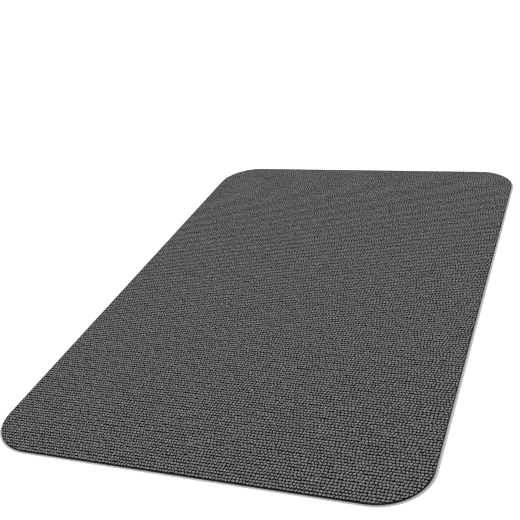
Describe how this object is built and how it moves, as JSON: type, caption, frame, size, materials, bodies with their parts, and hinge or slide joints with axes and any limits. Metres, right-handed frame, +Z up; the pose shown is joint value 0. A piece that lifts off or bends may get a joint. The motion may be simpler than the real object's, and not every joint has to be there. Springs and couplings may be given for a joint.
{
  "type": "chair mat",
  "caption": "Low-pile ribbed chair mat with rounded corners: loop pile rows in a sealed rim on a thin anti-slip base sheet.",
  "frame": {"origin": "centre of the underside, on the floor", "axes": "+X along the short edges, +Y along the long edges, +Z up from the floor"},
  "size_m": [0.9, 1.4, 0.0058],
  "materials": {
    "base_rubber": "light grey matt moulded sheet",
    "film_adhesive": "dull cream hot-melt film",
    "backing_cloth": "dark flat tape weave",
    "rim_melt": "near-black heat-sealed fibre, slightly rough",
    "pile_yarn": "charcoal heather bulked loop yarn, matt"
  },
  "bodies": {
    "root": {"anti_slip_base": "base_rubber", "bonding_film": "film_adhesive", "primary_backing": "backing_cloth", "sealed_rim": "rim_melt", "pile_rows_1": "pile_yarn", "pile_rows_2": "pile_yarn", "pile_rows_3": "pile_yarn", "pile_rows_4": "pile_yarn", "pile_rows_5": "pile_yarn", "pile_rows_6": "pile_yarn"}
  },
  "joints": []
}
